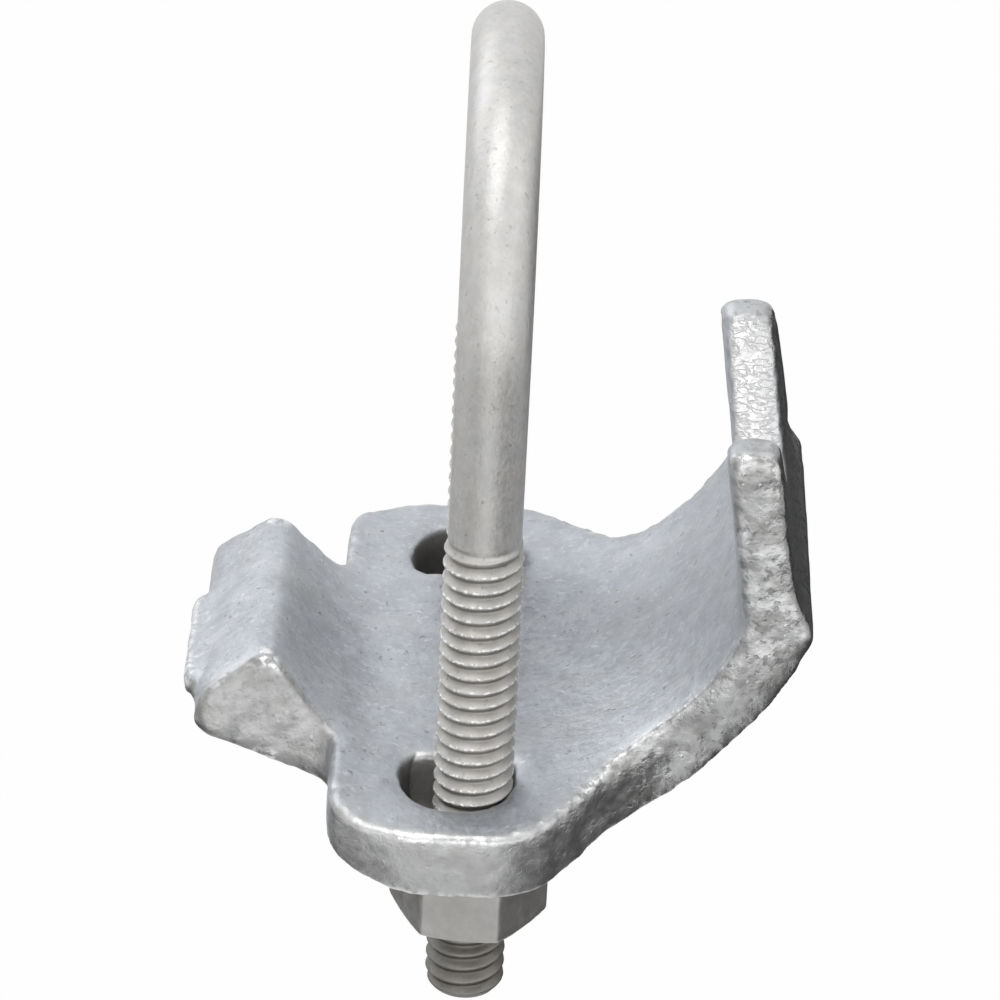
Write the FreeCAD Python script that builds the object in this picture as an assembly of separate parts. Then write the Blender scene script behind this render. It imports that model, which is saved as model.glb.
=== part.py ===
# Right angle conduit support: a cast saddle that grips a beam flange, a U-bolt
# that passes over the conduit, and two hexagon nuts under the saddle's ears.
# Lengths in millimetres, angles in degrees.
# X runs along the conduit, from the jaw to the fork, Z is up, and the part is
# symmetrical about the plane Y = 0 apart from the gate mark on the jaw.
# Each piece is drawn with Z = 0 on top of the plate and X = 0 on the U-bolt.
import cmath
import math
import os

import FreeCAD
import Part

V = FreeCAD.Vector

# The conduit that lies in the notch, and the room that the U-bolt leaves round it
conduit_d = 26.7
crown_play = 0.9
leg_play = 1.3

# U-bolt: a quarter inch rolled thread on a thinner shank
thread_d = 6.2
shank_d = 5.6
thread_length = 41.2
thread_runout = 1.2
stud_end = 7.2
stud_chamfer = 0.8
leg_y = (conduit_d + shank_d) / 2.0 + leg_play

# Hexagon nuts
nut_flats = 10.8
nut_height = 5.76
nut_bore_play = 0.05
nut_bore_chamfer = 0.45
nut_face_share = 0.95
nut_corner_angle = 18.0
nut_front_turn = 6.0
nut_back_turn = -17.0

# Hole for a leg: a round with a flat on the side towards the middle
hole_play = 1.9
hole_x = -1.25
hole_inset = 1.05
hole_flat_play = 0.35
hole_corner_r = 1.6
hole_rim_r = 0.6
hole_r = thread_d / 2.0 + hole_play

# Plate and its two ears
plate_thickness = 5.9
ear_margin = 8.1
ear_left_wall = 4.95
ear_left_corner = 2.1
ear_left_corner_r = 4.5
ear_crown_left = -4.5
ear_crown_left_r = 9.0
ear_crown_right = 4.3
ear_crown_right_r = 7.0
ear_waist_x = 12.3
ear_waist_r = 6.5
ear_reach = leg_y + ear_margin
ear_left = hole_x - hole_r - ear_left_wall

# Jaw, the ridge that bites on the beam flange
jaw_length = 11.1
jaw_base_z = 0.0
jaw_base_r = 1.4
jaw_root_run = 5.9
shoulder_inset = 0.6
shoulder_z = 3.1
shoulder_r = 3.0
ridge_inset = 5.9
ridge_z = 6.95
ridge_r = 1.6
ridge_foot_run = 5.8
ridge_foot_r = 8.0
jaw_half_width = 10.7
jaw_draft = 15.5
jaw_neck_r = 1.5
jaw_end = ear_left - jaw_length
ridge_x = jaw_end + ridge_inset

# Gate mark left on the end of the jaw
gate_depth = 0.8
gate_front = -9.0
gate_back = 4.2
gate_low = 0.9
gate_high = 3.0
gate_r = 0.8

# Cradle, the curve from the plate up into the fork
cradle_corner_x = 14.44
cradle_r = 20.5
cradle_slope = 66.5
root_half_width = 15.9
belly_out = 5.55
belly_rise = 5.5
belly_r = 32.0
underside_back = 8.54
underside_blend = 4.0

# Fork with a notch that seats the conduit
fork_height = 27.4
fork_foot_z = 13.0
fork_foot_r = 1.6
fork_lean = 8.5
tip_thickness = 4.1
waist_z = 15.6
waist_thickness = 4.35
waist_r = 9.0
knee_z = 12.9
knee_thickness = 5.75
knee_r = 1.3
tine_tip_half_width = 13.0
tine_root_z = 10.0
tine_shelf_drop = 2.0
tine_root_r = 8.0
notch_mouth = 20.0
notch_angle = 90.0
notch_floor_r = 2.6
fork_foot_x = cradle_corner_x + fork_foot_z / math.tan(math.radians(cradle_slope))

# Rounding of the cast edges, and how far the drawn prisms run past the casting
edge_r = 0.8
sharp_angle = 25.0
overrun = 4.0

# How edges are told apart: how near to a plane or line they lie, how far a
# drafted one leans, and how high a rim may climb
near = 0.1
neck_lean = 2.0
rim_climb = 2.5


def notch_point_z():
    # Height at which the two faces of the notch would meet.
    return fork_height - notch_mouth / 2.0 / math.tan(math.radians(notch_angle / 2.0))


def conduit_axis_z():
    # Height of the conduit's axis when it lies in the notch.
    return notch_point_z() + conduit_d / 2.0 / math.sin(math.radians(notch_angle / 2.0))


def cradle_x(z):
    # The inner face of the cradle's straight end at a height.
    return cradle_corner_x + z / math.tan(math.radians(cradle_slope))


def fork_x(z):
    # The inner face of the leaning fork at a height.
    return fork_foot_x - (z - fork_foot_z) * math.tan(math.radians(fork_lean))


def rounded_wire(corners, place):
    # A closed outline through corners (a, b, radius), with tangent arcs that are
    # kept short enough for the straight run on either side.
    count = len(corners)
    points = [complex(a, b) for a, b, _ in corners]
    reaches = []
    for i in range(count):
        back = points[i - 1] - points[i]
        ahead = points[(i + 1) % count] - points[i]
        half_opening = abs(cmath.phase(ahead / back)) / 2.0
        reaches.append(corners[i][2] / math.tan(half_opening))
    arcs = []
    for i in range(count):
        back = points[i - 1] - points[i]
        ahead = points[(i + 1) % count] - points[i]
        share = 1.0
        if reaches[i] > 0.0:
            share = min(1.0, 0.99 * abs(back) / (reaches[i] + reaches[i - 1]))
            share = min(share, 0.99 * abs(ahead) / (reaches[i] + reaches[(i + 1) % count]))
        reach = reaches[i] * share
        half_opening = abs(cmath.phase(ahead / back)) / 2.0
        to_centre = back / abs(back) + ahead / abs(ahead)
        radius = corners[i][2] * share
        crest = (radius / math.sin(half_opening) - radius) * to_centre / abs(to_centre)
        arcs.append((points[i] + back / abs(back) * reach, points[i] + crest, points[i] + ahead / abs(ahead) * reach))
    edges = []
    for i in range(count):
        start, middle, end = [place(p.real, p.imag) for p in arcs[i]]
        following = place(arcs[(i + 1) % count][0].real, arcs[(i + 1) % count][0].imag)
        if corners[i][2] > 0.0:
            edges.append(Part.Arc(start, middle, end).toShape())
        edges.append(Part.LineSegment(end, following).toShape())
    return Part.Wire(edges)


def side_prism():
    # The casting from the side: thickness of jaw, plate, cradle and fork.
    underside_right = cradle_corner_x - underside_back
    corners = [
        (jaw_end, jaw_base_z, jaw_base_r),
        (jaw_end + shoulder_inset, shoulder_z, shoulder_r),
        (ridge_x, ridge_z, ridge_r),
        (ridge_x + ridge_foot_run, 0.0, ridge_foot_r),
        (cradle_corner_x, 0.0, cradle_r),
        (fork_foot_x, fork_foot_z, fork_foot_r),
        (fork_x(fork_height), fork_height, 0.0),
        (fork_x(fork_height) + tip_thickness, fork_height, 0.0),
        (fork_x(waist_z) + waist_thickness, waist_z, waist_r),
        (cradle_x(knee_z) + knee_thickness, knee_z, knee_r),
        (cradle_corner_x + belly_out, belly_rise - plate_thickness, belly_r),
        (underside_right, -plate_thickness, underside_blend),
        (ear_left + jaw_root_run, -plate_thickness, underside_blend),
    ]
    half = ear_reach + overrun
    face = Part.Face(rounded_wire(corners, lambda a, b: V(a, -half, b)))
    return face.extrude(V(0, 2.0 * half, 0))


def plan_prism():
    # The ears and the cradle from above.
    bottom = -plate_thickness - overrun
    upper = [
        (ear_left, ear_reach - ear_left_corner, ear_left_corner_r),
        (ear_crown_left, ear_reach, ear_crown_left_r),
        (ear_crown_right, ear_reach, ear_crown_right_r),
        (ear_waist_x, root_half_width, ear_waist_r),
        (cradle_x(knee_z) + knee_thickness + overrun, root_half_width, 0.0),
    ]
    corners = upper + [(a, -b, r) for a, b, r in reversed(upper)]
    face = Part.Face(rounded_wire(corners, lambda a, b: V(a, b, bottom)))
    return face.extrude(V(0, 0, fork_height + overrun - bottom))


def fork_prism():
    # The fork from its end: tapered tines and the notch between them.
    wide = ear_reach + overrun
    shelf = tine_root_z - tine_shelf_drop
    upper = [
        (wide, -plate_thickness - overrun, 0.0),
        (wide, shelf, 0.0),
        (root_half_width, shelf, 0.0),
        (root_half_width, tine_root_z, tine_root_r),
        (tine_tip_half_width, fork_height, 0.0),
        (notch_mouth / 2.0, fork_height, 0.0),
    ]
    corners = upper + [(0.0, notch_point_z(), notch_floor_r)] + [(-a, b, r) for a, b, r in reversed(upper)]
    start = jaw_end - overrun
    length = cradle_x(knee_z) + knee_thickness + overrun - start
    face = Part.Face(rounded_wire(corners, lambda a, b: V(start, a, b)))
    return face.extrude(V(length, 0, 0))


def jaw_prism():
    # The sides of the jaw, which spread towards its underside.
    top = ridge_z + overrun
    bottom = -plate_thickness - overrun
    start = jaw_end - overrun
    spread = math.tan(math.radians(jaw_draft))
    half_top = jaw_half_width - (top - ridge_z) * spread
    half_bottom = jaw_half_width + (ridge_z - bottom) * spread
    corners = [(half_bottom, bottom, 0.0), (half_top, top, 0.0), (-half_top, top, 0.0), (-half_bottom, bottom, 0.0)]
    face = Part.Face(rounded_wire(corners, lambda a, b: V(start, a, b)))
    return face.extrude(V(ear_left + overrun - start, 0, 0))


def gate_mark():
    # The stump of metal left where the casting was filled.
    start = jaw_end - gate_depth
    size = (gate_depth + shoulder_inset + 1.0, gate_back - gate_front, gate_high - gate_low)
    stump = Part.makeBox(size[0], size[1], size[2], V(start, gate_front, gate_low))
    outer = [e for e in stump.Edges if e.BoundBox.XMin < start + near]
    return stump.makeFillet(gate_r, outer)


def leg_hole(side):
    # The hole for one leg, wider than the thread so that the U-bolt can settle.
    bottom = -plate_thickness - overrun
    depth = plate_thickness + 2.0 * overrun
    centre_y = leg_y - hole_inset
    flat_y = leg_y - thread_d / 2.0 - hole_flat_play
    round_hole = Part.makeCylinder(hole_r, depth, V(hole_x, centre_y, bottom))
    inner_side = Part.makeBox(4.0 * hole_r, 2.0 * hole_r, depth, V(hole_x - 2.0 * hole_r, flat_y - 2.0 * hole_r, bottom))
    hole = round_hole.cut(inner_side)
    corners = [e for e in hole.Edges if e.BoundBox.ZLength > depth - near and abs(e.BoundBox.YMin - flat_y) < near]
    hole = hole.makeFillet(hole_corner_r, corners)
    if side < 0:
        hole = hole.mirror(V(0, 0, 0), V(0, 1, 0))
    return hole


def normal_at(face, point):
    u, v = face.Surface.parameter(point)
    return face.normalAt(u, v)


def sharp_edges(shape):
    # Edges where two faces meet at more than a slight angle.
    found = []
    for edge in shape.Edges:
        faces = shape.ancestorsOfType(edge, Part.Face)
        if len(faces) != 2:
            continue
        middle = edge.valueAt((edge.FirstParameter + edge.LastParameter) / 2.0)
        turn = normal_at(faces[0], middle).getAngle(normal_at(faces[1], middle))
        if math.degrees(turn) > sharp_angle:
            found.append(edge)
    return found


def neck_corners(shape):
    # The upright inside corners where the jaw runs into the ears.
    found = []
    for edge in shape.Edges:
        box = edge.BoundBox
        on_left_side = abs(box.XMin - ear_left) < 0.01 and box.XLength < 0.01
        if on_left_side and near < box.YLength < neck_lean and box.ZLength > neck_lean:
            found.append(edge)
    return found


def rim_edges(shape):
    # The upper and lower rims of the two leg holes.
    found = []
    for edge in sharp_edges(shape):
        box = edge.BoundBox
        near_hole = abs((box.XMin + box.XMax) / 2.0 - hole_x) < hole_r + near
        middle_y = abs(box.YMin + box.YMax) / 2.0
        if near_hole and leg_y - hole_inset - hole_r < middle_y < leg_y - hole_inset + hole_r + near:
            if box.XMin > hole_x - hole_r - near and box.XMax < hole_x + hole_r + near and box.ZLength < rim_climb:
                found.append(edge)
    return found


def saddle_casting():
    # One casting: jaw, plate with two ears, cradle and fork, with soft edges.
    side = side_prism()
    saddle = side.common(plan_prism()).common(fork_prism())
    jaw = side.common(jaw_prism())
    body = saddle.fuse(jaw).removeSplitter()
    body = body.makeFillet(jaw_neck_r, neck_corners(body))
    body = body.makeFillet(edge_r, sharp_edges(body))
    body = body.fuse(gate_mark())
    body = body.cut(leg_hole(1)).cut(leg_hole(-1))
    return body.makeFillet(hole_rim_r, rim_edges(body))


def u_bolt():
    # A round bar bent to a half circle, with a rolled thread on both legs.
    crown_z = conduit_axis_z() + conduit_d / 2.0 + crown_play + shank_d / 2.0
    bend_z = crown_z - leg_y
    low = -plate_thickness - nut_height - stud_end
    thread_top = low + thread_length
    plain = thread_length - stud_chamfer - thread_runout
    section = Part.Face(Part.Wire(Part.makeCircle(shank_d / 2.0, V(0, -leg_y, bend_z), V(0, 0, 1))))
    bar = section.revolve(V(0, 0, bend_z), V(-1, 0, 0), 180.0)
    for y in (-leg_y, leg_y):
        tip = Part.makeCone(thread_d / 2.0 - stud_chamfer, thread_d / 2.0, stud_chamfer, V(0, y, low))
        thread = Part.makeCylinder(thread_d / 2.0, plain, V(0, y, low + stud_chamfer))
        runout = Part.makeCone(thread_d / 2.0, shank_d / 2.0, thread_runout, V(0, y, thread_top - thread_runout))
        shank = Part.makeCylinder(shank_d / 2.0, bend_z - thread_top, V(0, y, thread_top))
        bar = bar.fuse([tip, thread, runout, shank])
    return bar.removeSplitter()


def hex_nut(y, turn):
    # A double chamfered hexagon nut, seated on the underside of an ear.
    low = -plate_thickness - nut_height
    corner_r = nut_flats / 2.0 / math.cos(math.radians(30.0))
    points = []
    for k in range(7):
        a = math.radians(60.0 * k - turn)
        points.append(V(corner_r * math.cos(a), y + corner_r * math.sin(a), low))
    prism = Part.Face(Part.makePolygon(points)).extrude(V(0, 0, nut_height))
    face_r = nut_flats / 2.0 * nut_face_share
    spread = corner_r + 1.0
    drop = (spread - face_r) * math.tan(math.radians(nut_corner_angle))
    lower = Part.makeCone(face_r, spread, drop, V(0, y, low))
    middle = Part.makeCylinder(spread, nut_height - 2.0 * drop, V(0, y, low + drop))
    upper = Part.makeCone(spread, face_r, drop, V(0, y, -plate_thickness - drop))
    blank = prism.common(lower.fuse([middle, upper]))
    bore_r = thread_d / 2.0 + nut_bore_play
    mouth_r = bore_r + nut_bore_chamfer
    bore = Part.makeCylinder(bore_r, nut_height, V(0, y, low))
    low_mouth = Part.makeCone(mouth_r, bore_r, nut_bore_chamfer, V(0, y, low))
    high_mouth = Part.makeCone(bore_r, mouth_r, nut_bore_chamfer, V(0, y, -plate_thickness - nut_bore_chamfer))
    return blank.cut(bore.fuse([low_mouth, high_mouth])).removeSplitter()


def export(shape, node):
    # The finished part is measured from the axis of the conduit.
    placed = shape.copy()
    placed.translate(V(0, 0, -conduit_axis_z()))
    placed.exportStep("parts/" + node + ".step")


os.makedirs("parts", exist_ok=True)
export(saddle_casting(), "saddle_casting")
export(u_bolt(), "u_bolt")
export(hex_nut(-leg_y, nut_front_turn), "nut_front")
export(hex_nut(leg_y, nut_back_turn), "nut_back")
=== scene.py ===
import bpy
import math
import numpy as np
from mathutils import Matrix, Vector, noise


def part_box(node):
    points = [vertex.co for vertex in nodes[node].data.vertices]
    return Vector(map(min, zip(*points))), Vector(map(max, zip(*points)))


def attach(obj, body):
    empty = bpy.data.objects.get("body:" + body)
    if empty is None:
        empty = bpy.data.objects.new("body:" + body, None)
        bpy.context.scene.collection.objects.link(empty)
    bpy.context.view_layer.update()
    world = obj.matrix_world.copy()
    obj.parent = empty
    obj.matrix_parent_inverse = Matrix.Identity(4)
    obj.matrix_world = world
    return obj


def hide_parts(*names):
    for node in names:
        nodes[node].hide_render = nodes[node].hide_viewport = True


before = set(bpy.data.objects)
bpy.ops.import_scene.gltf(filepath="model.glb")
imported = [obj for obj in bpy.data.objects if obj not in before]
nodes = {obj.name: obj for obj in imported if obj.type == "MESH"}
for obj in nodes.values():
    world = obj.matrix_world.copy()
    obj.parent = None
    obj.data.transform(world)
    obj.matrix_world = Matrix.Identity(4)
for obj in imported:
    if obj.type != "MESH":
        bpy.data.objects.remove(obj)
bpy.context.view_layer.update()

# ---------------------------------------------------------------------------
# Saddle casting. One malleable iron casting, hot-dip galvanised: a ridged jaw,
# two ears with a hole each, and a cradle that rises into a notched fork. The
# mould leaves its sides uneven, and the zinc rounds every edge.
# ---------------------------------------------------------------------------
casting_voxel = 0.00027
tip_rounds, corner_rounds, zinc_rounds = 38, 60, 70
lump_size, lump_height = 0.0044, 0.00013
crust_size, crust_height = 0.0015, 0.0001
nick_size, nick_height = 0.0009, 0.00007
edge_pull = 0.00012
zinc_depth = 0.00004
foot_fill = 0.0006
hole_fill = 0.0006
tine_swell = 0.0002
knee_sink = 0.00016

# Places on the casting, in metres.
leg_y = 0.01745
hole_x, hole_y = -0.00125, 0.0164
ridge_x = -0.0164
jaw_corner_x = -0.0121
tip_z = -0.0108
nut_seat_r = 0.0072
back_corner_x, back_corner_y = -0.0072, 0.0182
tip_ease, corner_ease = 0.0012, 0.0015
foot_facing_x, foot_facing_z = 0.61, -0.79

# The bands over which each zone of the casting begins and ends, in metres.
rim_starts, rim_ends = (0.0042, 0.0048), (0.0058, 0.0078)
bore_ends = (0.0052, 0.0056)
nut_seat_ends = (nut_seat_r, nut_seat_r + 0.0015)
jaw_starts, jaw_ends = (-0.0226, -0.0219), (-0.0115, -0.0095)
jaw_side_ends = (0.0195, 0.0205)
crust_and_shade_starts = (0.003, 0.0085)
shaded_back_starts = (0.012, 0.016)
notch_starts = (0.013, 0.015)
tines_start = (0.018, 0.02)
far_tine_starts = (0.0105, 0.0125)
foot_starts, foot_ends = (0.0085, 0.0132), (0.0142, 0.022)
swell_starts = (-0.0215, -0.018)
knee_starts, knee_ends = (-0.0245, -0.0225), (-0.0205, -0.0185)
tip_starts = (tip_z - 0.0014, tip_z - 0.0002)
tip_glint_starts = (tip_z - 0.002, tip_z - 0.001)
ear_glint_starts, ear_glint_ends = (-0.0068, -0.0056), (0.0008, 0.0026)
ear_edge_starts = (0.02, 0.022)
cradle_glint_starts, cradle_glint_ends = (0.0072, 0.009), (0.0145, 0.0185)
ridge_glint_ends, corner_glint_ends = (0.0007, 0.0015), (0.0003, 0.0008)
edge_bend_starts = (240.0, 560.0)


def smooth_step(low, high, value):
    share = np.clip((value - low) / (high - low), 0.0, 1.0)
    return share * share * (3.0 - 2.0 * share)


def within(starts, ends, value):
    # 1 between two bands, which are its soft edges, and 0 outside them.
    return smooth_step(*starts, value) * (1.0 - smooth_step(*ends, value))


def cast_noise(points, size, seed):
    shift = Vector((seed * 7.31, seed * 3.17, seed * 5.93))
    return np.array([noise.noise(Vector(p) / size + shift) for p in points])


def placed(name, data):
    piece = bpy.data.objects.new(name, data)
    bpy.context.scene.collection.objects.link(piece)
    return piece


def settle(piece):
    # Puts the modifiers' result into the piece's mesh.
    bpy.context.view_layer.update()
    ready = piece.evaluated_get(bpy.context.evaluated_depsgraph_get())
    mesh = bpy.data.meshes.new_from_object(ready)
    old = piece.data
    piece.modifiers.clear()
    piece.data = mesh
    bpy.data.meshes.remove(old)


def eased(piece, rounds, zone=None):
    # Rounds the edges of the whole piece, or of the zone that gives points a share.
    ease = piece.modifiers.new("ease", "SMOOTH")
    ease.factor = 0.5
    ease.iterations = rounds
    if zone:
        group = piece.vertex_groups.new(name="zone")
        for vertex in piece.data.vertices:
            share = zone(vertex.co)
            if share > 0.0:
                group.add([vertex.index], min(1.0, share), "REPLACE")
        ease.vertex_group = group.name
    settle(piece)
    piece.vertex_groups.clear()


def remeshed_copy(node, name, voxel):
    # The node's shape as an even net of small faces, with its edges eased.
    piece = placed(name, nodes[node].data.copy())
    piece.data.materials.clear()
    weld = piece.modifiers.new("weld", "WELD")
    weld.merge_threshold = 0.000002
    net = piece.modifiers.new("net", "REMESH")
    net.mode = "VOXEL"
    net.voxel_size = voxel
    net.use_smooth_shade = True
    eased(piece, 2)
    return piece


def mark(mesh, **masks):
    # Writes masks on the mesh's points, for its material to read.
    for name, shares in masks.items():
        mesh.attributes.new(name, "FLOAT", "POINT").data.foreach_set("value", shares)
    mesh.update()


def edge_marks(mesh, points, normals):
    # 1 where the surface bends outwards as tightly as a cast edge does.
    count = len(points)
    pairs = np.zeros(len(mesh.edges) * 2, dtype=np.int32)
    mesh.edges.foreach_get("vertices", pairs)
    a, b = pairs.reshape(-1, 2).T
    run = points[b] - points[a]
    bend = ((normals[b] - normals[a]) * run).sum(1) / (run * run).sum(1)
    beside = np.bincount(a, minlength=count) + np.bincount(b, minlength=count)
    curve = (np.bincount(a, bend, count) + np.bincount(b, bend, count)) / beside
    for _ in range(2):
        spread = np.bincount(a, curve[b], count) + np.bincount(b, curve[a], count)
        curve = (spread + curve) / (beside + 1)
    return smooth_step(*edge_bend_starts, curve)


def wear_and_glint_edges(x, y, z, normals):
    # 1 on the edges given a painted highlight: glints on the ear, cradle and jaw edges and on the
    #                                           tines' front tips, partly standing for edges rubbed
    #                                           bright.
    bright = within(ear_glint_starts, ear_glint_ends, x) * smooth_step(*ear_edge_starts, np.abs(y))
    bright += within(cradle_glint_starts, cradle_glint_ends, x)
    bright += 1.0 - smooth_step(*ridge_glint_ends, np.abs(x - ridge_x))
    on_jaw = 1.0 - smooth_step(*jaw_side_ends, np.abs(y))
    bright += on_jaw * (1.0 - smooth_step(*corner_glint_ends, np.abs(x - jaw_corner_x)))
    bright += 1.0 - smooth_step(*jaw_starts, x)
    front_up = smooth_step(0.2, 0.5, -normals[:, 1]) * smooth_step(0.1, 0.3, normals[:, 2])
    bright += 0.65 * front_up * smooth_step(*tip_glint_starts, z) * smooth_step(*tines_start, x)
    return np.clip(bright, 0.0, 1.0)


def cast_skin(piece):
    # Sinks and swells of the mould on the sides, fine crust near the fork's foot.
    mesh = piece.data
    points = np.zeros(len(mesh.vertices) * 3)
    normals = np.zeros(len(mesh.vertices) * 3)
    mesh.vertices.foreach_get("co", points)
    mesh.vertex_normals.foreach_get("vector", normals)
    points = points.reshape(-1, 3)
    normals = normals.reshape(-1, 3)

    # The zinc fills the holes' rims along the conduit.
    off_x = points[:, 0] - hole_x
    off_hole = np.hypot(off_x, np.abs(points[:, 1]) - hole_y)
    along_x = np.sign(off_x) * (off_x / np.maximum(off_hole, 0.001)) ** 2
    points[:, 0] -= hole_fill * within(rim_starts, rim_ends, off_hole) * along_x

    x, y, z = points.T
    facing_x, facing_z = normals[:, 0], normals[:, 2]
    outward = normals[:, 1] * np.sign(y)
    at_tip = smooth_step(*tip_starts, z) * smooth_step(*tines_start, x)
    at_tip *= smooth_step(0.1, 0.5, facing_z)
    side = np.maximum(smooth_step(0.15, 0.55, outward), 0.85 * at_tip)
    # Painted shade: the fork's outer face, turned from the lamps, is marked for a dark colour.
    back = smooth_step(0.3, 0.8, facing_x) * smooth_step(*shaded_back_starts, x)
    seat = smooth_step(0.45, 0.65, -outward) * smooth_step(*notch_starts, x)
    wall = smooth_step(0.35, 0.7, 1.0 - np.abs(facing_z))
    # Painted shade: the walls of the holes are marked for a darker colour.
    bore = wall * (1.0 - smooth_step(*bore_ends, off_hole))
    under = smooth_step(0.5, 0.9, -facing_z)
    jaw = 1.0 - smooth_step(*jaw_ends, x)
    # Crust on the sides towards the fork; its darker colour is partly painted shade.
    crusted_and_shaded = side * (0.14 + 0.86 * smooth_step(*crust_and_shade_starts, x) + 0.3 * jaw)
    edge = edge_marks(mesh, points, normals)

    lumps = cast_noise(points, lump_size, 1) + 0.4 * cast_noise(points, lump_size * 0.42, 2)
    crust = cast_noise(points, crust_size, 3) + 0.5 * cast_noise(points, crust_size * 0.5, 4)
    nicks = cast_noise(points, nick_size, 5)
    from_leg = np.hypot(x, np.abs(y) - leg_y)
    raised = lumps * lump_height * (0.3 + 0.7 * side)
    raised += crust * crust_height * (0.1 + 0.9 * np.maximum(crusted_and_shaded, 0.4 * seat))
    raised *= 1.0 - under * (1.0 - smooth_step(*nut_seat_ends, from_leg))
    raised += edge * (edge_pull + nicks * nick_height) + zinc_depth * (1.0 - under)
    foot_side = np.clip(foot_facing_x * facing_x + foot_facing_z * facing_z, 0.0, 1.0)
    raised += foot_fill * within(foot_starts, foot_ends, x) * foot_side
    far_tine = smooth_step(*far_tine_starts, y)
    raised += tine_swell * far_tine * smooth_step(*swell_starts, z) * np.abs(facing_x)
    knee = within(knee_starts, knee_ends, z)
    raised -= knee_sink * far_tine * knee * np.clip(facing_x, 0.0, 1.0)
    points = points + normals * raised[:, None]
    points = np.clip(points, *[np.array(corner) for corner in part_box("saddle_casting")])
    mesh.vertices.foreach_set("co", points.ravel())

    # Painted highlight: the edge mask is raised where the edges glint, partly rubbed wear.
    bright = wear_and_glint_edges(*points.T, normals)
    mark(mesh, crust=crusted_and_shaded, side=side, seat=seat, back=back, bore=bore,
         edge=edge * (0.15 + 0.85 * bright), jaw=jaw * side,
         jaw_edge=edge * side * jaw * (1.0 - bright))


saddle = remeshed_copy("saddle_casting", "saddle_skin", casting_voxel)
eased(saddle, tip_rounds, lambda co: (co.z - tip_z) / tip_ease)
eased(saddle, corner_rounds, lambda co: min(back_corner_x - co.x, co.y - back_corner_y) / corner_ease)
eased(saddle, zinc_rounds)
cast_skin(saddle)


def add_node(tree, kind, **values):
    node = tree.nodes.new(kind)
    for key, value in values.items():
        setattr(node, key, value)
    return node


def feed(tree, slot, value):
    # Links another node's output to a slot, or sets the slot to a plain value.
    if isinstance(value, bpy.types.NodeSocket):
        tree.links.new(value, slot)
    else:
        slot.default_value = value


def worked(tree, kind, *values):
    made = add_node(tree, "ShaderNodeMath", operation=kind)
    for slot, value in zip(made.inputs, values):
        feed(tree, slot, value)
    return made.outputs[0]


def stretched(tree, vector, scale, **names):
    made = add_node(tree, "ShaderNodeVectorMath", operation="MULTIPLY", **names)
    feed(tree, made.inputs[0], vector)
    feed(tree, made.inputs[1], scale)
    return made.outputs[0]


def blended(tree, factor, first, second, kind="MIX"):
    made = add_node(tree, "ShaderNodeMix", data_type="RGBA", blend_type=kind)
    for slot, value in ((0, factor), (6, first), (7, second)):
        feed(tree, made.inputs[slot], value)
    return made.outputs[2]


def ranged(tree, value, low, high, to_low=0.0, to_high=1.0):
    made = add_node(tree, "ShaderNodeMapRange", interpolation_type="SMOOTHSTEP")
    for slot, number in (("Value", value), ("From Min", low), ("From Max", high),
                         ("To Min", to_low), ("To Max", to_high)):
        feed(tree, made.inputs[slot], number)
    return made.outputs["Result"]


def field(tree, place, scale, detail, **more):
    # Noise at a place. Its other slots can be set by their names.
    made = add_node(tree, "ShaderNodeTexNoise")
    for slot, value in {"Vector": place, "Scale": scale, "Detail": detail, **more}.items():
        feed(tree, made.inputs[slot], value)
    return made.outputs["Fac"]


def point_mask(tree, name):
    return add_node(tree, "ShaderNodeAttribute", attribute_name=name).outputs["Fac"]


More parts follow.
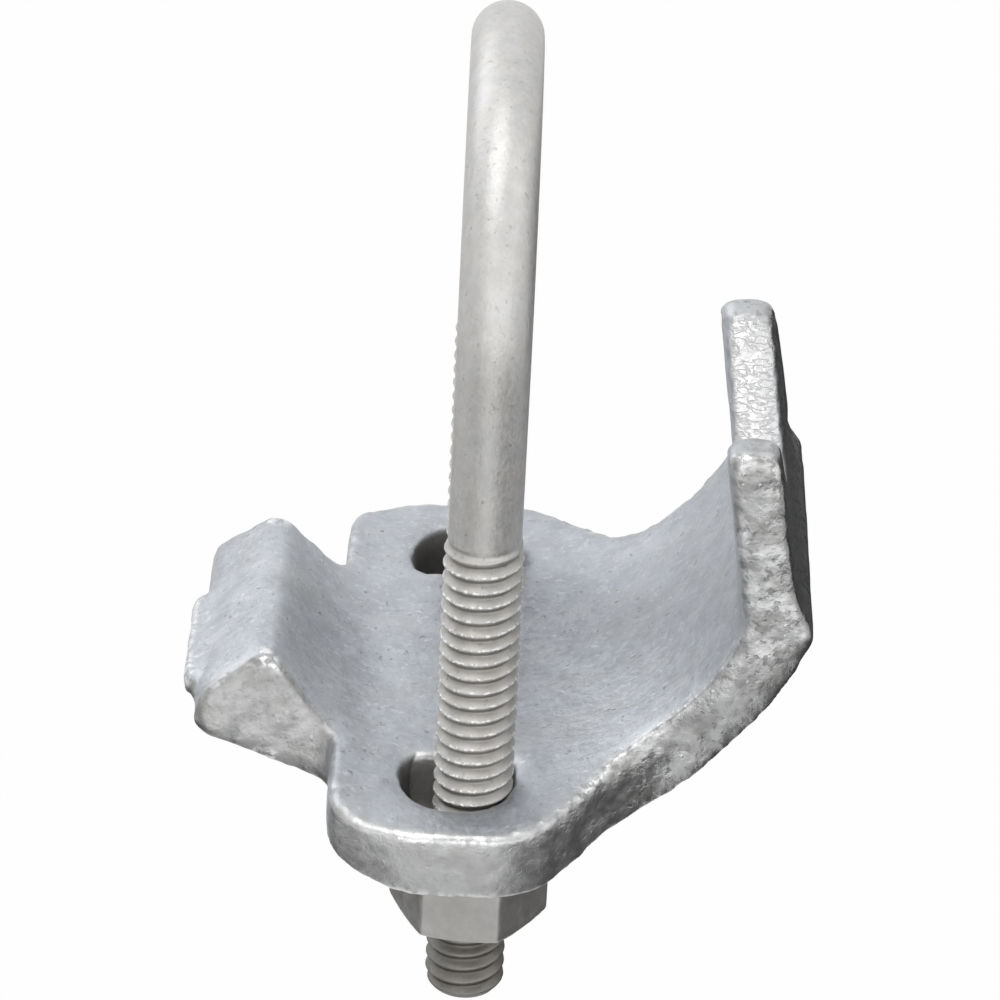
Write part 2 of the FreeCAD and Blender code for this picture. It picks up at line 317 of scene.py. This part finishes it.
def zinc_group():
    # Galvanised zinc: pale clouds, fine grain, bright flecks and small dark pits.
    group = bpy.data.node_groups.new("galvanised zinc", "ShaderNodeTree")
    face = group.interface
    face.new_socket("Vector", in_out="INPUT", socket_type="NodeSocketVector")
    for name in ("Light", "Shade", "Pit Color"):
        face.new_socket(name, in_out="INPUT", socket_type="NodeSocketColor")
    for name in ("Cloud Size", "Grain Size", "Flecks", "Pits", "Roughness", "Crust"):
        face.new_socket(name, in_out="INPUT", socket_type="NodeSocketFloat")
    face.new_socket("Color", in_out="OUTPUT", socket_type="NodeSocketColor")
    face.new_socket("Roughness", in_out="OUTPUT", socket_type="NodeSocketFloat")
    face.new_socket("Height", in_out="OUTPUT", socket_type="NodeSocketFloat")
    entry = add_node(group, "NodeGroupInput").outputs
    leave = add_node(group, "NodeGroupOutput").inputs

    def times(a, b):
        return worked(group, "MULTIPLY", a, b)

    def plus(a, b):
        return worked(group, "ADD", a, b)

    def less(a, b):
        return worked(group, "SUBTRACT", a, b)

    def clouds(size, share, detail, roughness):
        scale = worked(group, "DIVIDE", share, entry[size])
        return field(group, entry["Vector"], scale, detail, Roughness=roughness)

    cloud = clouds("Cloud Size", 1.0, 4.0, 0.55)
    patch = clouds("Cloud Size", 3.4, 3.0, 0.55)
    warmth = clouds("Cloud Size", 0.6, 2.0, 0.5)
    grain = clouds("Grain Size", 1.0, 3.0, 0.6)
    speck = clouds("Grain Size", 2.1, 1.0, 0.5)
    pit = clouds("Grain Size", 0.6, 3.0, 0.6)
    drawn = stretched(group, entry["Vector"], (0.85, 1.0, 1.0))
    stroke_scale = worked(group, "DIVIDE", 0.7, entry["Grain Size"])
    stroke = field(group, drawn, stroke_scale, 3.0, Roughness=0.6, Distortion=0.8)
    smear = ranged(group, stroke, 0.54, 0.72)

    tone = plus(plus(times(cloud, 0.5), times(patch, 0.34)), times(grain, 0.16))
    base = blended(group, ranged(group, tone, 0.35, 0.65), entry["Shade"], entry["Light"])
    cool_tint, warm_tint = (0.988, 0.998, 1.01, 1.0), (1.008, 1.0, 0.988, 1.0)
    tint = blended(group, ranged(group, warmth, 0.4, 0.6), cool_tint, warm_tint)
    base = blended(group, 1.0, base, tint, "MULTIPLY")
    bright = times(times(smear, 0.24), less(1.0, times(entry["Crust"], 0.6)))
    bright = worked(group, "MAXIMUM", bright, times(ranged(group, speck, 0.73, 0.8), 0.55))
    bright = times(bright, entry["Flecks"])
    fleck_white = (0.8, 0.815, 0.83, 1.0)
    base = blended(group, bright, base, fleck_white)
    dark = times(ranged(group, pit, 0.62, 0.72), times(entry["Pits"], 0.45))
    feed(group, leave["Color"], blended(group, dark, base, entry["Pit Color"]))

    gloss = plus(times(less(patch, 0.5), 0.3), entry["Roughness"])
    feed(group, leave["Roughness"], less(gloss, times(bright, 0.15)))
    height = plus(plus(times(grain, 0.3), times(patch, 0.9)), times(smear, 0.12))
    feed(group, leave["Height"], less(height, times(dark, 0.5)))
    return group


zinc = zinc_group()


def zinc_material(name, light, shade, pit, cloud_mm, grain_mm, flecks, pits,
                  roughness, metallic, relief, upright=1000.0):
    # One zinc finish. A smaller upright draws its clouds out along the bar.
    material = bpy.data.materials.new(name)
    material.use_nodes = True
    tree = material.node_tree
    shader = tree.nodes["Principled BSDF"].inputs
    place = add_node(tree, "ShaderNodeTexCoord").outputs["Object"]
    skin = add_node(tree, "ShaderNodeGroup", node_tree=zinc, name="skin")
    for slot, value in (("Vector", stretched(tree, place, (1000.0, 1000.0, upright), name="to mm")),
                        ("Light", (*light, 1.0)), ("Shade", (*shade, 1.0)), ("Pit Color", (*pit, 1.0)),
                        ("Cloud Size", cloud_mm), ("Grain Size", grain_mm), ("Flecks", flecks),
                        ("Pits", pits), ("Roughness", roughness)):
        feed(tree, skin.inputs[slot], value)
    bump = add_node(tree, "ShaderNodeBump", name="bump")
    bump.inputs["Distance"].default_value = relief
    bump.inputs["Strength"].default_value = 1.0
    feed(tree, bump.inputs["Height"], skin.outputs["Height"])
    feed(tree, shader["Base Color"], skin.outputs["Color"])
    feed(tree, shader["Roughness"], skin.outputs["Roughness"])
    feed(tree, shader["Normal"], bump.outputs["Normal"])
    shader["Metallic"].default_value = metallic
    return material


# The casting's colours: clean and crusted scab, the crusted scab darker partly by painted shade, then
# the places that differ, where the back and the bores carry painted shade and the edges, drops and
# notch carry painted highlights.
scab_dark, scab_dark_crusted_shade = (0.49, 0.487, 0.48, 1.0), (0.3, 0.295, 0.286, 1.0)
scab_pale, scab_pale_crusted_shade = (0.57, 0.57, 0.568, 1.0), (0.52, 0.52, 0.516, 1.0)
jaw_dark, jaw_pale = (0.25, 0.246, 0.238, 1.0), (0.36, 0.357, 0.35, 1.0)
speck_dark, drop_glint_bright = (0.16, 0.158, 0.15, 1.0), (0.8, 0.8, 0.8, 1.0)
back_painted_shade, bore_dull = (0.23, 0.228, 0.225, 1.0), (0.34, 0.334, 0.323, 1.0)
soot_dark, rubbed_glint_bright = (0.2, 0.197, 0.19, 1.0), (0.82, 0.825, 0.83, 1.0)
foil_sheen_bright, foil_crease = (0.67, 0.673, 0.678, 1.0), (0.47, 0.47, 0.473, 1.0)


def finish_casting(material):
    # Mottled crust on the sides, darkened partly by painted shade; painted shade on the back and in
    # the bores; painted highlights on bright edges and drops; wrinkled zinc in the notch, made
    # brighter by a painted highlight.
    tree = material.node_tree
    shader = tree.nodes["Principled BSDF"].inputs
    skin = tree.nodes["skin"]
    place = tree.nodes["to mm"].outputs[0]
    crust, side, seat, back, bore, edge, jaw, jaw_edge = [
        point_mask(tree, name)
        for name in ("crust", "side", "seat", "back", "bore", "edge", "jaw", "jaw_edge")]

    def times(a, b):
        return worked(tree, "MULTIPLY", a, b)

    def times_plus(a, b, c):
        return worked(tree, "MULTIPLY_ADD", a, b, c)

    def over(factor, first, second):
        return blended(tree, factor, first, second)

    def clouds(scale, detail, low, high, to_low=0.0):
        return ranged(tree, field(tree, place, scale, detail), low, high, to_low)

    feed(tree, skin.inputs["Crust"], times(crust, 0.35))
    mottle = clouds(0.5, 5.0, 0.38, 0.6)
    # Crusted scab is darker: partly the crust, partly painted shade.
    dark = over(crust, scab_dark, scab_dark_crusted_shade)
    pale = over(crust, scab_pale, scab_pale_crusted_shade)
    scab = over(times(jaw, 0.85), over(mottle, dark, pale), over(mottle, jaw_dark, jaw_pale))
    specks = times(clouds(1.5, 3.0, 0.55, 0.67), clouds(0.42, 2.0, 0.4, 0.56, 0.25))
    specks = times(specks, times_plus(crust, 0.8, 0.2))
    # Painted highlight: small bright glints on random zinc drops in the crust.
    drops = add_node(tree, "ShaderNodeTexVoronoi")
    drops.inputs["Scale"].default_value = 1.5
    feed(tree, drops.inputs["Vector"], place)
    chosen = add_node(tree, "ShaderNodeSeparateColor")
    feed(tree, chosen.inputs["Color"], drops.outputs["Color"])
    glint = ranged(tree, drops.outputs["Distance"], 0.14, 0.3, 1.0, 0.0)
    glint = times(times(glint, ranged(tree, chosen.outputs["Red"], 0.86, 0.9)), crust)
    scab = over(times(specks, 0.75), scab, speck_dark)
    scab = over(times(glint, 0.6), scab, drop_glint_bright)

    colour = over(times(side, 0.8), skin.outputs["Color"], scab)
    # Painted shade on the fork's outer face.
    colour = over(times(back, 0.8), colour, back_painted_shade)
    # Painted shade in the holes.
    colour = over(times(bore, 0.8), colour, bore_dull)
    soot = times(jaw_edge, clouds(1.3, 4.0, 0.42, 0.6))
    colour = over(times(soot, 0.7), colour, soot_dark)
    # The notch faces get a brighter wrinkled zinc: the wrinkles are the zinc's own, the brightness
    # partly a painted highlight where the lamp reflects.
    wrinkle = field(tree, stretched(tree, place, (0.6, 0.65, 1.7)), 1.5, 3.0, Distortion=0.5)
    off_line = worked(tree, "ABSOLUTE", worked(tree, "SUBTRACT", wrinkle, 0.5))
    folds = ranged(tree, off_line, 0.0, 0.07, 1.0, 0.0)
    colour = over(seat, colour, over(folds, foil_sheen_bright, foil_crease))
    # Painted highlight along the glinting edges, partly rubbed wear; none on the jaw's sooty edges.
    rubbed_and_glint = times(edge, clouds(1.3, 5.0, 0.42, 0.54))
    rubbed_and_glint = times(rubbed_and_glint, times_plus(jaw_edge, -0.8, 1.0))
    feed(tree, shader["Base Color"], over(times(rubbed_and_glint, 0.85), colour, rubbed_glint_bright))

    gloss = times_plus(back, -0.12, skin.outputs["Roughness"])
    gloss = times_plus(crust, -0.04, gloss)
    feed(tree, shader["Roughness"], times_plus(rubbed_and_glint, -0.12, gloss))
    coarse = times(field(tree, place, 0.9, 4.0), 2.4)
    coarse = times_plus(specks, -0.5, coarse)
    coarse = times_plus(glint, 0.6, coarse)
    coarse_share = times_plus(crust, 0.8, times(side, 0.2))
    height = times_plus(coarse, coarse_share, skin.outputs["Height"])
    foil = times_plus(folds, -0.5, times(field(tree, place, 1.8, 3.0), 2.2))
    feed(tree, tree.nodes["bump"].inputs["Height"], times_plus(foil, seat, height))


cast_zinc = zinc_material(
    "cast zinc", light=(0.507, 0.53, 0.566), shade=(0.4, 0.418, 0.449), pit=(0.17, 0.165, 0.16),
    cloud_mm=2.2, grain_mm=0.42, flecks=1.3, pits=1.2, roughness=0.43, metallic=0.7, relief=0.00006)
finish_casting(cast_zinc)
saddle.data.materials.append(cast_zinc)
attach(saddle, "saddle")
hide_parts("saddle_casting")

# ---------------------------------------------------------------------------
# U-bolt. A steel bar with a quarter inch thread rolled on both ends, so that the
# thread stands proud of the thinner shank, then bent round and galvanised.
# ---------------------------------------------------------------------------
pitch = 0.00127
crest_r, root_r, shank_r = 0.0031, 0.0026, 0.0028
bolt_low = -0.05514
helix_start = -0.05481
thread_top = -0.01394
runout = (thread_top - 0.0019, thread_top - 0.0002)
bend_z = -0.0004
end_r, end_round, end_dome = 0.0022, 0.0009, 0.00003
end_ring_radii = (0.0004, 0.0012, 0.0018)
ring_points = 56
rings_per_pitch, plain_rings, crown_rings = 16, 9, 61
grime_ends = (bolt_low + 0.0067, bolt_low + 0.0102)
crest_starts = (crest_r - 0.00012, crest_r - 0.00003)
bead_scale = 2600.0
groove_shade_tint, grime_tint = (0.58, 0.565, 0.54, 1.0), (0.47, 0.458, 0.44, 1.0)
bead_glint_bright = (0.85, 0.85, 0.84, 1.0)


def thread_wave(turns):
    # 1 on the crest and 0 in the root of the thread, along one pitch.
    off_crest = np.abs(2.0 * (turns - np.floor(turns)) - 1.0)
    share = np.clip((off_crest - 0.03) / 0.87, 0.0, 1.0)
    return 0.7 * (1.0 - share) + 0.3 * (0.5 + 0.5 * np.cos(math.pi * share))


def thread_radius(z, angle):
    # The bar's radius at a height, with the helix rising to the right.
    turns = (z - helix_start) / pitch - angle / (2.0 * math.pi)
    cut = root_r + (crest_r - root_r) * thread_wave(turns)
    fade = smooth_step(*runout, z)
    radius = cut * (1.0 - fade) + shank_r * fade
    rounded_end = end_r + np.sqrt(np.clip(z - bolt_low, 0.0, 1.0) / end_round) * end_round
    return np.minimum(radius, rounded_end)


def leg_rings(side, angles):
    # Rings from a leg's end up to the bend. side is -1 for the front leg, 1 for the back one.
    def ring(r, z):
        y = side * (leg_y - r * np.sin(angles))
        return np.stack([r * np.cos(angles), y, np.full(ring_points, z)], 1)

    steps = int(round((thread_top - bolt_low) / pitch * rings_per_pitch))
    threaded = np.linspace(bolt_low, thread_top, steps)
    plain = np.linspace(thread_top, bend_z, plain_rings)[1:]
    rings = [ring(r, bolt_low + end_dome * (1.0 - r / end_r)) for r in end_ring_radii]
    return rings + [ring(thread_radius(z, -side * angles), z) for z in (*threaded, *plain)]


def bolt_rings():
    # Rings from the front end up its leg, round the crown and down the back leg.
    angles = np.linspace(0.0, 2.0 * math.pi, ring_points, endpoint=False)
    out = leg_y - shank_r * np.sin(angles)
    crown = []
    for turn in np.linspace(0.0, math.pi, crown_rings)[1:-1]:
        y, z = -out * math.cos(turn), bend_z + out * math.sin(turn)
        crown.append(np.stack([shank_r * np.cos(angles), y, z], 1))
    return leg_rings(-1.0, angles) + crown + leg_rings(1.0, angles)[::-1]


def net_mesh(name, rings, closed_ends):
    # Quads between neighbouring rings, and one flat face on each end if it is closed.
    points = np.concatenate(rings)
    count = len(rings[0])
    faces = []
    for start in range(0, len(points) - count, count):
        for k in range(count):
            a, b = start + k, start + (k + 1) % count
            faces.append((a, b, b + count, a + count))
    if closed_ends:
        faces.append(tuple(range(count))[::-1])
        faces.append(tuple(range(len(points) - count, len(points))))
    mesh = bpy.data.meshes.new(name)
    mesh.from_pydata(points.tolist(), [], faces)
    mesh.update()
    mesh.polygons.foreach_set("use_smooth", [True] * len(mesh.polygons))
    return mesh


bolt = placed("threaded_u_bolt", net_mesh("threaded_u_bolt", bolt_rings(), True))
bolt_points = np.array([v.co for v in bolt.data.vertices])
bolt_points = np.clip(bolt_points, *[np.array(corner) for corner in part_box("u_bolt")])
bolt.data.vertices.foreach_set("co", bolt_points.ravel())
heights = bolt_points[:, 2]
off_leg = np.hypot(bolt_points[:, 0], np.abs(bolt_points[:, 1]) - leg_y)
in_thread = 1.0 - smooth_step(*runout, heights)
# Painted shadow: the legs' free ends below the nuts are marked for a darker colour.
grimed = 1.0 - smooth_step(*grime_ends, heights)
mark(bolt.data, grime=grimed,
     groove=in_thread * np.clip((crest_r - off_leg) / (crest_r - root_r), 0.0, 1.0) ** 0.5,
     crest=in_thread * smooth_step(*crest_starts, off_leg) * (1.0 - grimed))


def grimed_thread(material):
    # Painted shade darkens the groove, partly zinc built up there, and a painted shadow darkens the
    # legs' free ends below the nuts. Painted highlights brighten small zinc beads on the crests.
    tree = material.node_tree
    skin = tree.nodes["skin"].outputs
    colour = blended(tree, point_mask(tree, "groove"), skin["Color"], groove_shade_tint, "MULTIPLY")
    # Painted shadow on the free ends below the nuts.
    colour = blended(tree, point_mask(tree, "grime"), colour, grime_tint, "MULTIPLY")
    place = add_node(tree, "ShaderNodeTexCoord").outputs["Object"]
    # Painted highlight: small zinc beads on the crests are painted bright.
    chosen = ranged(tree, field(tree, place, bead_scale, 2.0), 0.5, 0.62)
    bead = worked(tree, "MULTIPLY", point_mask(tree, "crest"), chosen)
    shader = tree.nodes["Principled BSDF"].inputs
    feed(tree, shader["Base Color"], blended(tree, bead, colour, bead_glint_bright))
    feed(tree, tree.nodes["bump"].inputs["Height"], worked(tree, "ADD", skin["Height"], bead))


bar_zinc = zinc_material(
    "bar zinc", light=(0.615, 0.609, 0.6), shade=(0.53, 0.524, 0.513), pit=(0.24, 0.23, 0.215),
    cloud_mm=0.9, grain_mm=0.3, flecks=0.35, pits=1.0, roughness=0.46, metallic=0.65,
    relief=0.00003, upright=620.0)
grimed_thread(bar_zinc)
bolt.data.materials.append(bar_zinc)
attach(bolt, "u_bolt")
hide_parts("u_bolt")

# ---------------------------------------------------------------------------
# Nuts. Two double chamfered hexagon nuts, cut and galvanised, their corners
# softened by the zinc. Each is screwed up against the underside of its ear.
# ---------------------------------------------------------------------------
nut_flats = 0.0108
nut_top, nut_bottom = -0.04218, -0.04794
nut_face_r = nut_flats / 2.0 * 0.95
mouth_r = crest_r + 0.0005
chamfer_angle = 18.0
corner_power = 150.0
bore_gap = 0.00009
mouth_edge = 0.00005
full_thread = (bolt_low + 0.002, thread_top - 0.004)
nut_directions, skin_points, bore_points = 180, 44, 66
front_turn, back_turn = 6.0, -17.0


def hexagon_radius(angles, turn):
    # Distance from the axis to the side faces, with eased corners.
    total = np.zeros_like(angles)
    for k in range(6):
        middle = math.radians(30.0 + 60.0 * k) - turn
        total += np.clip(np.cos(angles - middle), 0.0, 1.0) ** corner_power
    return nut_flats / 2.0 / total ** (1.0 / corner_power)


def even_profile(corners, count):
    # A polyline resampled evenly, with its corners eased.
    corners = np.array(corners)
    runs = np.hypot(*np.diff(corners, axis=0).T)
    along = np.concatenate([[0.0], np.cumsum(runs)])
    at = np.linspace(0.0, along[-1], count)
    line = np.stack([np.interp(at, along, corners[:, 0]), np.interp(at, along, corners[:, 1])], 1)
    for _ in range(3):
        line[1:-1] = 0.5 * line[1:-1] + 0.25 * (line[:-2] + line[2:])
    return line


def nut_mesh(name, y, turn):
    # One profile in each direction: faces and chamfers outside, the thread inside.
    angles = np.linspace(0.0, 2.0 * math.pi, nut_directions, endpoint=False)
    slope = math.tan(math.radians(chamfer_angle))
    heights = np.linspace(nut_bottom + mouth_edge, nut_top - mouth_edge, bore_points)
    mouth = mouth_r - np.minimum(heights - nut_bottom, nut_top - heights)
    columns = []
    for angle, wide in zip(angles, hexagon_radius(angles, turn)):
        drop = max(0.0, wide - nut_face_r) * slope
        skin = even_profile([(mouth_r, nut_top), (nut_face_r, nut_top), (wide, nut_top - drop),
                             (wide, nut_bottom + drop), (nut_face_r, nut_bottom),
                             (mouth_r, nut_bottom)], skin_points)
        own = thread_radius(np.clip(heights, *full_thread), angle) + bore_gap
        columns.append(np.concatenate([skin, np.stack([np.maximum(own, mouth), heights], 1)]))
    rings = [np.stack([r * np.cos(angles), y + r * np.sin(angles), z], 1)
             for r, z in np.array(columns).transpose(1, 2, 0)]
    return net_mesh(name, rings + rings[:1], False)


nut_zinc = zinc_material(
    "nut zinc", light=(0.55, 0.54, 0.525), shade=(0.45, 0.44, 0.425), pit=(0.24, 0.23, 0.21),
    cloud_mm=3.0, grain_mm=0.5, flecks=0.3, pits=0.3, roughness=0.42, metallic=0.6, relief=0.00002)
for name, node, y, turn in (("front_nut", "nut_front", -leg_y, front_turn),
                            ("back_nut", "nut_back", leg_y, back_turn)):
    nut = placed(name, nut_mesh(name, y, math.radians(turn)))
    nut.data.materials.append(nut_zinc)
    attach(nut, node)
    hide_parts(node)

# ---------------------------------------------------------------------------
# Studio. A plain white floor well below the clamp, and five soft lamps round it.
# Four matt cards, hidden from the camera, are the dark surroundings that the
# zinc reflects. The camera stands at the photograph's angle.
# ---------------------------------------------------------------------------
floor_z, floor_r, floor_corners = -0.35, 3.0, 64
floor_grey, plain_white = (0.55, 0.55, 0.55, 1.0), (1.0, 1.0, 1.0, 1.0)
floor_white_share = 0.985
room_light = 0.2
lamp_aim = Vector((0.0, 0.0, -0.02))
warm, cool, neutral, sky = (1.0, 0.99, 0.975), (0.97, 0.985, 1.0), (1.0, 1.0, 1.0), (0.93, 0.965, 1.0)
camera_azimuth, camera_elevation, camera_roll = -0.3780, 30.1159, 2.8559
camera_aim = Vector((0.0010975, 0.0, -0.0212735))
camera_distance = 0.434136
camera_lens = 198.71


def white_for_camera(tree):
    # The background is plain white to the camera and in reflections.
    path = add_node(tree, "ShaderNodeLightPath").outputs
    seen = worked(tree, "MAXIMUM", path["Is Camera Ray"], path["Is Glossy Ray"])
    return worked(tree, "MAXIMUM", seen, path["Is Transmission Ray"])


def stage_piece(name, corners, colour, roughness):
    # A flat matt sheet of the studio.
    mesh = bpy.data.meshes.new(name)
    mesh.from_pydata(corners, [], [tuple(range(len(corners)))])
    sheet = placed(name, mesh)
    paint = bpy.data.materials.new(name + " paint")
    paint.use_nodes = True
    shader = paint.node_tree.nodes["Principled BSDF"].inputs
    shader["Base Color"].default_value = colour
    shader["Roughness"].default_value = roughness
    mesh.materials.append(paint)
    return sheet


floor_turns = np.linspace(0, 2 * math.pi, floor_corners, endpoint=False)
floor_rim = [(floor_r * math.cos(a), floor_r * math.sin(a), floor_z) for a in floor_turns]
floor = stage_piece("floor", floor_rim, floor_grey, 0.9)
tree = floor.data.materials[0].node_tree
white = add_node(tree, "ShaderNodeEmission")
white.inputs["Color"].default_value = plain_white
white.inputs["Strength"].default_value = 1.0
blend = add_node(tree, "ShaderNodeMixShader")
feed(tree, blend.inputs["Fac"], worked(tree, "MULTIPLY", white_for_camera(tree), floor_white_share))
feed(tree, blend.inputs[1], tree.nodes["Principled BSDF"].outputs["BSDF"])
feed(tree, blend.inputs[2], white.outputs["Emission"])
feed(tree, tree.nodes["Material Output"].inputs["Surface"], blend.outputs["Shader"])

world = bpy.data.worlds.new("studio")
bpy.context.scene.world = world
world.use_nodes = True
tree = world.node_tree
room = tree.nodes["Background"]
room.inputs["Color"].default_value = plain_white
level = add_node(tree, "ShaderNodeMapRange")
level.inputs["To Min"].default_value = room_light
level.inputs["To Max"].default_value = 1.0
feed(tree, level.inputs["Value"], white_for_camera(tree))
feed(tree, room.inputs["Strength"], level.outputs["Result"])


def direction(azimuth, elevation):
    # Azimuth 0 is the clamp's front and 90 its right side.
    az, el = math.radians(azimuth), math.radians(elevation)
    return Vector((math.sin(az) * math.cos(el), -math.cos(az) * math.cos(el), math.sin(el)))


def soft_lamp(name, azimuth, elevation, distance, width, height, power, colour):
    # A softbox that faces the middle of the clamp.
    data = bpy.data.lights.new(name, "AREA")
    data.shape = "RECTANGLE"
    data.size = width
    data.size_y = height
    data.energy = power
    data.color = colour
    lamp = placed(name, data)
    back = direction(azimuth, elevation)
    lamp.location = lamp_aim + back * distance
    lamp.rotation_euler = back.to_track_quat("Z", "Y").to_euler()


soft_lamp("front lamp", -38.0, 69.0, 0.9, 0.58, 0.8, 3.4, warm)
soft_lamp("low lamp", 9.0, 7.0, 1.0, 1.8, 0.42, 3.6, warm)
soft_lamp("left lamp", -128.0, 32.0, 1.1, 0.8, 0.7, 2.6, cool)
soft_lamp("right lamp", 75.0, 40.0, 1.0, 0.6, 0.6, 1.0, neutral)
soft_lamp("back lamp", 175.0, 34.0, 1.0, 0.9, 0.4, 0.5, sky)


def studio_card(name, grey, corners):
    # A matt card beside the clamp, out of the picture, that its metal reflects.
    card = stage_piece(name, corners, (grey, grey, grey, 1.0), 1.0)
    card.visible_camera = False


studio_card("right_card", 0.04, [(0.12, -0.3, -0.3), (0.12, 0.05, -0.3),
                                 (0.12, 0.05, -0.06), (0.12, -0.3, -0.06)])
studio_card("left_card", 0.32, [(-0.14, -0.3, -0.3), (-0.14, 0.2, -0.3),
                                (-0.14, 0.2, -0.11), (-0.14, -0.3, -0.1)])
studio_card("rear_card", 0.02, [(0.14, 0.03, -0.3), (0.14, 0.35, -0.3),
                                (0.14, 0.35, -0.12), (0.14, 0.03, 0.03)])
studio_card("low_card", 0.02, [(-0.02, 0.16, -0.3), (0.15, 0.16, -0.3),
                               (0.15, 0.16, -0.075), (-0.02, 0.16, -0.075)])

back = direction(camera_azimuth, camera_elevation)
turned = math.radians(camera_azimuth)
right = Vector((math.cos(turned), math.sin(turned), 0.0))
up = back.cross(right)
roll = math.radians(camera_roll)
turned_right = math.cos(roll) * right + math.sin(roll) * up
turned_up = -math.sin(roll) * right + math.cos(roll) * up
camera_data = bpy.data.cameras.new("camera")
camera_data.lens = camera_lens
camera_data.sensor_width = 36.0
camera_data.clip_start = 0.01
camera_data.clip_end = 20.0
camera = placed("camera", camera_data)
facing = Matrix((turned_right, turned_up, back)).transposed().to_4x4()
camera.matrix_world = Matrix.Translation(camera_aim + back * camera_distance) @ facing
bpy.context.scene.camera = camera
bpy.context.scene.view_settings.view_transform = "Standard"
